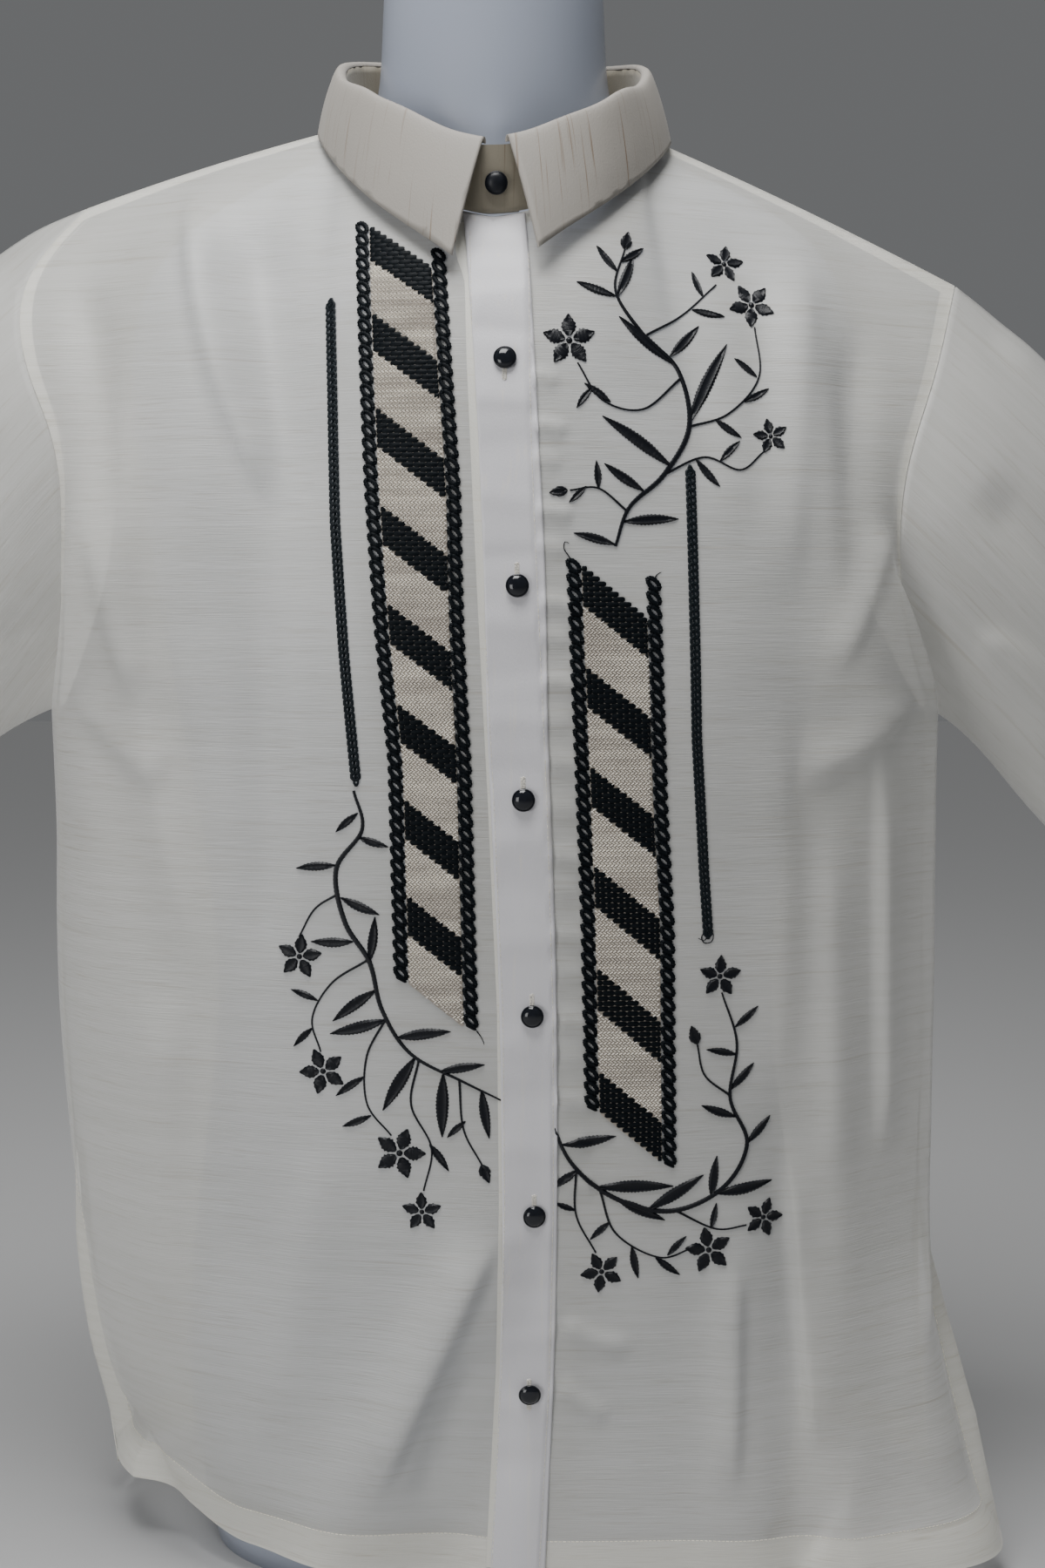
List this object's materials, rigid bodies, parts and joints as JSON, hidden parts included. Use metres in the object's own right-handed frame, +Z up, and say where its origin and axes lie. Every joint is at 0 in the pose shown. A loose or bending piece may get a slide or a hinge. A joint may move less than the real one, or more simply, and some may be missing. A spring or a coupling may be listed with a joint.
{
  "type": "barong tagalog shirt on a dress form",
  "caption": "Sheer short-sleeved barong shirt with a stiff shirt collar, buttoned placket and black embroidered bands, worn by a limbless white dress form.",
  "frame": {"origin": "middle of the form's flat base, on the surface it stands on", "axes": "+Z up; -Y is the front; +X is the wearer's left"},
  "size_m": [0.844, 0.2608, 0.85],
  "materials": {
    "sheer_cloth": "sheer ivory cloth with a soft sheen and fine cross slubs",
    "doubled_cloth": "several layers of the same cloth, opaque cream",
    "black_gloss": "polished black",
    "stripe_thread": "thick black and cream stitching in slanted stripes",
    "black_thread": "black embroidery thread",
    "white_form": "smooth cool white, half gloss"
  },
  "bodies": {
    "root": {"front_right": "sheer_cloth", "front_left": "sheer_cloth", "back": "sheer_cloth", "sleeve_right": "sheer_cloth", "sleeve_left": "sheer_cloth", "placket": "doubled_cloth", "collar_stand": "doubled_cloth", "collar_leaf": "doubled_cloth", "embroidered_band_right": "stripe_thread", "embroidered_band_left": "stripe_thread", "braid_right": "black_thread", "braid_left": "black_thread", "button_1": "black_gloss", "button_2": "black_gloss", "button_3": "black_gloss", "button_4": "black_gloss", "button_5": "black_gloss", "button_6": "black_gloss", "button_collar": "black_gloss", "dress_form": "white_form"}
  },
  "joints": []
}
